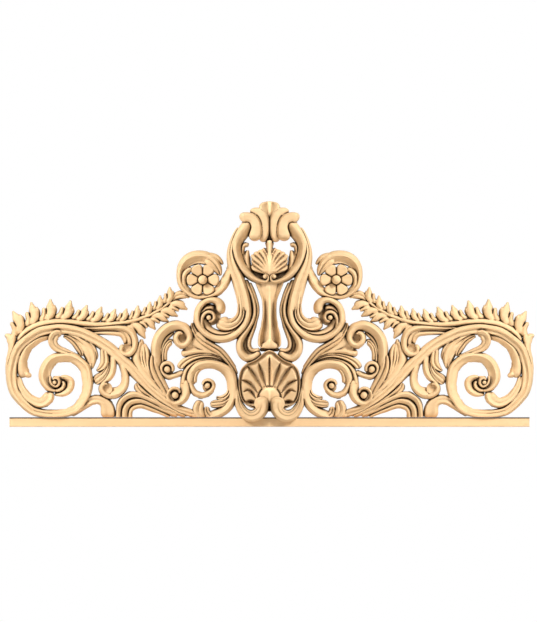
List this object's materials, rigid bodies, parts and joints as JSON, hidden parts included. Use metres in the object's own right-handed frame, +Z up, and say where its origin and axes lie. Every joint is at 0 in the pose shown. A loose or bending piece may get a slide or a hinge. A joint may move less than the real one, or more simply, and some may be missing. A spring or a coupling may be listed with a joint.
{
  "type": "carved headpiece",
  "caption": "Openwork carved wooden crest of scrolls, leaves, rosettes and two shells on a plain base rail, flat at the back for fixing over a frame.",
  "frame": {"origin": "middle of the base rail's underside", "axes": "+X along the rail to the right seen from the front, +Z up to the finial, -Y out of the carved face"},
  "size_m": [1.0604, 0.037, 0.451],
  "materials": {
    "pale_wood": "smooth sanded pale hardwood, unvarnished"
  },
  "bodies": {
    "root": {"carved_crest": "pale_wood", "base_rail": "pale_wood"}
  },
  "joints": []
}
